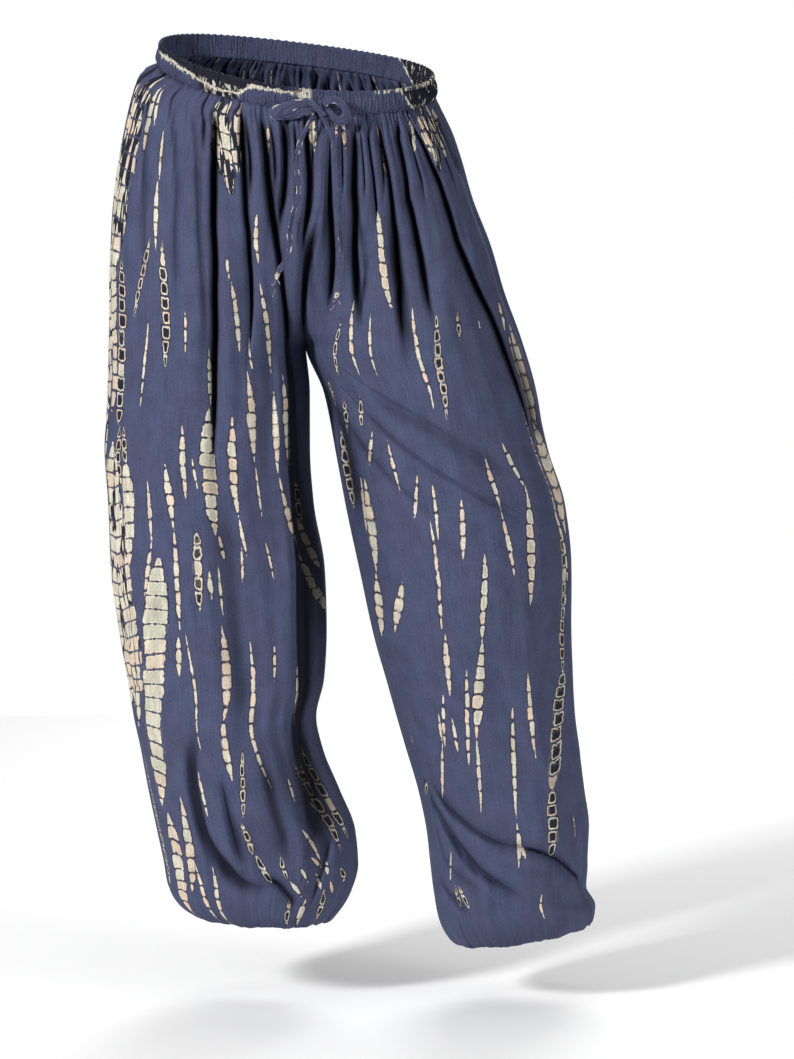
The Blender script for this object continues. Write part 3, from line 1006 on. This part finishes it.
def grid_quads(rows, columns, order=(0, 1, 2, 3), rows_join=False, columns_join=False):
    """Quads of a grid of points, row by row, whose last row or column may join the first.

    The corners of a quad are its own point, the one in the next row, the one across from it and the one
    beside it.
    """
    i, j = np.meshgrid(np.arange(rows - 1 + rows_join), np.arange(columns - 1 + columns_join), indexing="ij")
    next_row, next_column = (i + 1) % rows, (j + 1) % columns
    here, after = i * columns, next_row * columns
    corners = (here + j, after + j, after + next_column, here + next_column)
    return np.stack([corners[k] for k in order], axis=-1).reshape(-1, 4)


def spread(fine, density, count):
    """Places from the first to the last of fine, packed by the density over it."""
    total = np.concatenate([[0.0], np.cumsum(0.5 * (density[1:] + density[:-1]))])
    return np.interp(np.linspace(0.0, total[-1], count), total, fine)


def weave(name, columns, line):
    """Where each column of points stands at the waist seam, and how far across it is at each drop of the
    line.

    Columns are packed closer beside the lines of the grain, and keep their share of the way between two of
    them.
    """
    lines = GRAIN[name]
    knots = np.array([0.0] + [route[0][0] for route in lines] + [1.0])
    fine = np.linspace(0.0, 1.0, 2001)
    grain = spread(fine, 1.0 + 1.8 * np.exp(-(((fine[:, None] - knots) / 0.018) ** 2)).sum(axis=1), columns)
    tracks = [np.interp(line, *np.array(route).T[::-1]) for route in lines]
    tracks = np.stack([np.zeros(len(line))] + tracks + [np.ones(len(line))], axis=-1)
    left = np.clip(np.searchsorted(knots, grain, side="right") - 1, 0, len(knots) - 2)
    share = (grain - knots[left]) / (knots[left + 1] - knots[left])
    across = (1.0 - share) * tracks[:, left] + share * tracks[:, left + 1]
    return np.broadcast_to(grain, across.shape), across


def rows_down(last_drop, rows):
    """Drops of the rows of points, packed closer at the waist and towards the hem."""
    fine = np.linspace(0.0, last_drop, 2001)
    density = 1.0 + 0.9 * np.exp(-((fine / 40.0) ** 2)) + 0.8 * smoothstep((fine - last_drop + 230.0) / 60.0)
    return spread(fine, density, rows)


def make_panel(name, side, face, columns, rows, seed, material):
    """One leg panel: the bare form with its folds, dyed in chains, given a thickness of cloth.

    Folds go straight back from the front, and forward from the back, but along the surface's normal at the
    sides.
    """
    last_drop = LEG_SECTIONS[side][-1][0]
    line = rows_down(last_drop, rows)
    grain, across = weave(name, columns, line)
    drop = np.broadcast_to(line[:, None], across.shape)
    bare = bare_panel(side, face, across, drop)
    normal = outward(side, face, across, drop, bare)
    depth, hollow = fold_depth(name, grain, across, drop, last_drop, seed)
    frontal = smoothstep((np.abs(normal[..., 1:2]) - 0.22) / 0.3)
    push = normal * (1.0 - frontal) + np.array([0.0, -1.0 if face == "front" else 1.0, 0.0]) * frontal
    push /= np.linalg.norm(push, axis=-1, keepdims=True)
    points = bare - push * depth[..., None]
    points[0, :, 2] += TOP_LIFT
    points[:, 0, 0] += RISE_GAP if side == "right" else -RISE_GAP
    if face == "front":
        rise = smoothstep((drop - 95.0) / 70.0) * (1.0 - smoothstep((drop - CROTCH_DROP + 26.0) / 26.0))
        seam_valley = VALLEY_DEPTH * rise * np.exp(-((across * PANEL_WIDTH / VALLEY_WIDTH) ** 2))
        points[..., 1] += seam_valley
        hollow = hollow + seam_valley
    lane, kind = lay_chains(CHAINS.get(name) or scattered_chains(seed, BACK_CHAINS), across, drop)
    kinds = np.broadcast_to(kind[..., None], lane.shape[:-1])
    place = np.stack([at_corners(across) * PANEL_WIDTH, at_corners(drop), kinds], axis=-1)
    pressed = lay_pressed(name, across, drop)
    order = (0, 1, 2, 3) if (side == "right") == (face == "front") else (3, 2, 1, 0)
    lane, place, pressed = (values[:, :, order] for values in (lane, place, pressed))
    quads = grid_quads(rows, columns, order)
    piece = add_piece(name, points.reshape(-1, 3), quads, material, lane, place, pressed)
    hollow = hollow * (1.0 - 0.4 * smoothstep((drop - 600.0) / 100.0)) + dye_pools(name, across, drop)
    piece.data.attributes.new("hollow", "FLOAT", "POINT").data.foreach_set("value", hollow.ravel())
    wall = piece.modifiers.new("cloth", "SOLIDIFY")
    wall.thickness = CLOTH_THICK * 0.001
    wall.offset = -1.0
    return piece


dyed_cloth = cloth_material("dyed_cloth", "dyed")
for side, side_seed in (("right", 0), ("left", 40)):
    for face, columns, rows, face_seed in (("front", 262, 180, 11), ("back", 190, 160, 23)):
        seed = side_seed + face_seed
        panel = make_panel("panel_{}_{}".format(face, side), side, face, columns, rows, seed, dyed_cloth)


# ----------------------------------------------------------------------------------------------------------
# Waistband and ankle casings: tubes of the same cloth drawn up over elastic, so that they crinkle finely all
# round.  The panels' top and bottom edges are sewn into them, and the waistband has a narrow frill on top.

# height below the top, offset out, of the outer face
BAND_OUTER = (
    (0, 0.6), (-2.5, 0.9), (-5, 1.0), (-8, 2.2), (-11.5, 3.2), (-16, 3.4), (-20, 2.5), (-23, 1.2),
    (-24.4, 0.2),
)
CASING_OUTER = ((0, -0.8), (-4, 0.2), (-8, 0.6), (-12, 0.3), (-15.5, -0.5), (-17.5, -1.4))


def ring_plan(count, edges, front, seam, back):
    """x and y round a ring: half an ellipse in front of the line from edge to edge, and half behind it."""
    turns = np.linspace(0.0, 2.0 * math.pi, count, endpoint=False)
    facing = -np.cos(turns)
    x = 0.5 * (edges[0] + edges[1]) + 0.5 * np.abs(edges[1] - edges[0]) * np.sin(turns)
    return x, seam + facing * np.where(facing < 0, seam - front, back - seam)


def make_ring(name, plan, outer, inner_offset, rows, pitch, crinkle, material):
    """A closed band: its outer face crinkles by cosines of the distance round it, and its inner is smooth.

    The outer face stands out from the plan by the offsets of its outline, and the inner face by one offset.
    Three rows of cosines at the pitch and at parts of it make the crinkle, swayed and uneven round the
    band.
    """
    heights, offsets = np.array(outer, float).T
    share = np.linspace(0.0, 1.0, rows)
    outer_height = heights[-1] * share
    height = np.concatenate([outer_height, outer_height[::-1]])
    offset = np.concatenate([smooth_curve(-heights, offsets, -outer_height), np.full(rows, inner_offset)])
    swell = np.concatenate([0.45 + 0.55 * np.sin(math.pi * share) ** 0.6, np.full(rows, -0.45)])
    run = np.roll(plan, -1, axis=0) - np.roll(plan, 1, axis=0)
    out = np.stack([run[:, 1], -run[:, 0], 0.0 * run[:, 0]], axis=-1)
    out /= np.linalg.norm(out, axis=-1, keepdims=True)
    step = np.linalg.norm(np.roll(plan, -1, axis=0) - plan, axis=-1)
    round_it = np.cumsum(step) - step[0]
    girth = step.sum()
    waves = int(round(girth / pitch))
    turn = (round_it / girth * 2.0 * math.pi)[:, None]
    sway = np.zeros(turn.shape)
    for beat, size in ((3, 1.1), (7, 0.8), (13, 0.6), (21, 0.5)):
        sway += size * np.sin(beat * turn + 1.7 * beat)
    fine = np.cos(waves * turn + sway * 1.6 + 0.9 * np.sin(height / 5.0))
    broad = np.cos(int(waves * 0.43) * turn + 2.0 * sway + height / 9.0)
    slant = np.cos(int(waves * 0.71) * turn + 3.0 * sway - height / 3.5)
    uneven = 0.75 + 0.45 * np.sin(11 * turn + 1.0) * np.sin(17 * turn) + 0.25 * np.sin(29 * turn + 2.0)
    push = crinkle * swell * uneven * (0.6 * fine + 0.45 * broad + 0.3 * slant) + offset
    points = plan[:, None, :] + out[:, None, :] * push[..., None]
    points[..., 2] += height
    points[..., 2] += 0.5 * np.cos(waves * 0.5 * turn + sway) * np.exp(-((height / 3.0) ** 2))
    count, around = len(plan), 2 * rows
    quads = grid_quads(count, around, (0, 3, 2, 1), True, True)
    i, j = np.divmod(np.arange(len(quads)), around)
    place = np.zeros(quads.shape + (3,))
    place[..., 0] = np.append(round_it, girth)[i[:, None] + (0, 0, 1, 1)]
    place[..., 1] = -np.append(height, height[0])[j[:, None] + (0, 1, 1, 0)]
    piece = add_piece(name, points.reshape(-1, 3), quads, material, None, place)
    return piece


band_cloth = cloth_material("band_cloth", "band", crinkle=1.6)
casing_cloth = cloth_material("casing_cloth", "casing", crinkle=1.6)

top = np.array([0.0])
height, inner, outer, front, seam, back, slope = sections("right", top)
x, y = ring_plan(1700, (outer, sections("left", top)[2]), front, seam, back)
plan = np.stack([x, y, waist_tilt(x, y)], axis=-1)
make_ring("waistband", plan, BAND_OUTER, -1.8, 14, 3.6, 1.0, band_cloth)

for side in ("right", "left"):
    hem = np.array([float(LEG_SECTIONS[side][-1][0])])
    height, inner, outer, front, seam, back, slope = sections(side, hem)
    x, y = ring_plan(480, (inner, outer), front, seam, back)
    z = height + slope * (x - 0.5 * (inner + outer)) / 100.0
    plan = np.stack([x, y, z], axis=-1)
    make_ring("ankle_casing_" + side, plan, CASING_OUTER, -2.9, 12, 4.4, 0.8, casing_cloth)


# ----------------------------------------------------------------------------------------------------------
# Tie: a narrow folded strip of the same cloth that comes out at the front of the waistband.  It is tied in
# a bow, with two loops, a knot and two free tails whose ends fray into threads.

TIE_WIDTH = 5.0
# So much left to the end of a strip keeps it from looking frayed.
UNFRAYED = 60.0
TAILS = {
    "tie_tail_right": (
        (18.6, -115, -41.6), (14, -121, -48.5), (7.5, -124.6, -60), (2, -126.8, -74), (-0.5, -127.8, -92),
        (0.5, -128.2, -108), (1.2, -128.6, -122), (-2, -128.8, -136), (-6.5, -129, -150), (-8, -129, -164),
        (-7.5, -129, -178), (-12.5, -128.8, -191), (-19.5, -128.6, -204), (-22.5, -128.4, -211),
    ),
    "tie_tail_left": (
        (24.6, -115, -41.6), (29.5, -121, -50), (35, -124.2, -62), (38.5, -126, -78), (40.2, -127, -98),
        (41, -127.4, -118), (41.4, -127.6, -138), (42.8, -127.6, -156), (45, -127.4, -172),
        (46.4, -127.2, -188), (46.2, -127, -204), (44, -126.8, -218), (39.5, -126.6, -231),
    ),
}
LOOPS = {
    "bow_loop_right": (
        (16, -114.2, -31), (8, -116, -30.5), (-3, -117, -31.5), (-13, -116.8, -34.5), (-21, -115.6, -38.5),
        (-23.5, -114.6, -41.5), (-17, -114.2, -43.5), (-8, -114.6, -42.5), (2, -114.8, -39.5),
        (10, -114.6, -37.5), (16, -113.8, -36.5),
    ),
    "bow_loop_left": (
        (27, -113.8, -31), (32.5, -115.4, -27.5), (39, -116.4, -27), (46, -116.2, -31), (50.5, -115.4, -38),
        (49.5, -115, -45.5), (43.5, -115.2, -48.5), (37.5, -115.4, -44.5), (33, -114.8, -40),
        (27, -113.6, -38),
    ),
}

# Loose threads at the ends of the tails: how far each hangs sideways, out and down.
THREADS = {
    "tie_tail_right": ((-2.5, -0.4, -20.0), (-5.5, -0.8, -8.0), (3.5, -0.8, -6.0)),
    "tie_tail_left": ((-4.5, -0.4, -13.0), (-7.0, -0.8, -5.0), (4.0, -0.8, -7.0)),
}


def tie_piece(name, points, faces, place):
    """A smooth piece of the tie from points in millimetres, with the place of each point on the strip."""
    mesh = bpy.data.meshes.new(name)
    mesh.from_pydata((points * 0.001).tolist(), [], faces)
    mesh.shade_smooth()
    mesh.attributes.new("place", "FLOAT_VECTOR", "POINT").data.foreach_set("vector", place.ravel())
    mesh.materials.append(tie_cloth)
    piece = add_object(name, mesh)
    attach(piece, "root")
    return piece


def tube_faces(rows, columns, turned=False):
    """Faces of a tube of rows of points, closed at each end by a fan to one of two points after them."""
    faces = grid_quads(rows, columns, (0, 3, 2, 1) if turned else (0, 1, 2, 3), columns_join=True).tolist()
    count = rows * columns
    for tip, first, forward in ((count, 0, not turned), (count + 1, count - columns, turned)):
        for k in range(columns):
            here, there = first + k, first + (k + 1) % columns
            faces.append((tip, here, there) if forward else (tip, there, here))
    return faces


def make_strip(name, route, width, thick, seed, turn=0.0, sides=28, edging=3.0, frayed=True):
    """A narrow folded strip along a smooth curve through its route: a flat section, scrunched into furrows.

    Its flat side faces out from the body, turned about its length by turn and a slow twist.  An edging of 3
    leaves cream along its edges, and one below 2 leaves none.  A frayed strip pales at its far end.
    """
    points = np.array(route, float)
    runs = np.concatenate([[0.0], np.cumsum(np.linalg.norm(np.diff(points, axis=0), axis=1))])
    count = int(runs[-1] / 0.9) + 2
    far = np.linspace(0.0, runs[-1], count)
    line = smooth_curve(runs, points, far, steady=False)
    ahead = np.gradient(line, axis=0)
    ahead /= np.linalg.norm(ahead, axis=-1, keepdims=True)
    forward = np.array([0.0, -1.0, 0.0])
    face = forward - ahead * (ahead @ forward)[:, None]
    face /= np.linalg.norm(face, axis=-1, keepdims=True)
    over = np.cross(ahead, face)
    twist = turn + 0.45 * np.sin(far / 17.0 + seed) + 0.30 * np.sin(far / 7.0 + 2.0 * seed)
    uneven = 0.10 * np.sin(far / 5.3 + seed) + 0.08 * np.sin(far / 2.9)
    uneven += 0.06 * np.sin(far / 1.6 + 2.0 * seed)
    wide = width * (1.0 + uneven)
    angle = np.linspace(0.0, 2.0 * math.pi, sides, endpoint=False)
    flat_x = np.sign(np.cos(angle)) * np.abs(np.cos(angle)) ** 0.8 * 0.5
    flat_y = np.sign(np.sin(angle)) * np.abs(np.sin(angle)) ** 0.9 * 0.5
    furrows = 1.0 + 0.34 * np.cos(17.0 * flat_x + 1.6 * np.sin(far / 6.0 + seed)[:, None])
    u = flat_x * wide[:, None]
    v = flat_y * furrows * thick * (1.0 + 0.18 * np.sin(far / 3.7 + seed))[:, None]
    turned_u = u * np.cos(twist)[:, None] - v * np.sin(twist)[:, None]
    turned_v = u * np.sin(twist)[:, None] + v * np.cos(twist)[:, None]
    rings = line[:, None, :] + over[:, None, :] * turned_u[..., None] + face[:, None, :] * turned_v[..., None]
    ends = np.stack([line[0] - ahead[0] * 0.4, line[-1] + ahead[-1] * 0.4])
    points = np.concatenate([rings.reshape(-1, 3), ends])
    place = np.zeros((len(points), 3))
    on_rings = place[: count * sides].reshape(count, sides, 3)
    on_rings[..., 0] = flat_x * 2.0 * edging
    on_rings[..., 1] = far[:, None]
    on_rings[..., 2] = runs[-1] - far[:, None] + (0.0 if frayed else UNFRAYED)
    return tie_piece(name, points, tube_faces(count, sides, turned=True), place), line


tie_cloth = cloth_material("tie_cloth", "tie", crinkle=1.2)

for name, width, turn, edging in (("bow_loop_right", 10.6, 0.1, 2.6), ("bow_loop_left", 9.4, 0.15, 2.3)):
    strip, line = make_strip(name, LOOPS[name], width, 4.4, len(name), turn, edging=edging, frayed=False)
    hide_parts(name)
for name, route in TAILS.items():
    edging = 3.0 if name == "tie_tail_right" else 2.2
    strip, line = make_strip(name, route, TIE_WIDTH, 2.2, len(name), edging=edging)
    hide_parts(name)
    for number, (sideways, out, down) in enumerate(THREADS[name]):
        start = line[-1] + (0.8 * number - 0.8, 0.0, 0.8)
        bend = start + (0.2 * sideways + 1.5, out, 0.5 * down)
        thread_name = "{}_thread_{}".format(name, number + 1)
        hangs = (start, bend, start + (sideways, out, down))
        make_strip(thread_name, hangs, 0.7, 0.6, number, sides=6)[0]
    tuple(line[0] * 0.001)
    [tuple(point) for point in line * 0.001]

KNOT_STRAP = ((12.5, -116.6, -28.0), (16.5, -119.2, -30.5), (22, -120.2, -36.5), (27, -118.6, -43.5))
make_strip("knot_strap", KNOT_STRAP, 7.0, 2.4, 3, edging=1.6, frayed=False)

# The knot under the strap: a ball squashed to three sizes, with furrows wrapped round it.
KNOT_CENTRE = np.array([21.5, -114.2, -34.0])
KNOT_SIZE = np.array([12.0, 8.4, 14.0])
KNOT_ROWS = 39
KNOT_COLUMNS = 64
theta = np.linspace(0.0, math.pi, KNOT_ROWS + 2)[1:-1, None]
phi = np.linspace(0.0, 2.0 * math.pi, KNOT_COLUMNS, endpoint=False)
out = np.sin(theta)
direction = np.stack([out * np.cos(phi), out * np.sin(phi), np.cos(theta) + 0.0 * phi], axis=-1)
wrap = 0.12 * np.sin(7.2 * direction[..., 2] + 3.6 * direction[..., 0])
wrap += 0.07 * np.sin(11.0 * direction[..., 0] + 2.0)
ball = KNOT_CENTRE + direction * (0.5 * KNOT_SIZE) * (1.0 + wrap)[..., None]
poles = KNOT_CENTRE + np.array([[0.0, 0.0, 0.5], [0.0, 0.0, -0.5]]) * KNOT_SIZE[2]
points = np.concatenate([ball.reshape(-1, 3), poles])
place = (points - KNOT_CENTRE)[:, [0, 2, 1]] * (0.25, 1.0, 0.0) + (0.0, 0.0, UNFRAYED)
knot = tie_piece("drawstring_knot", points, tube_faces(KNOT_ROWS, KNOT_COLUMNS), place)
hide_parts("drawstring_knot")
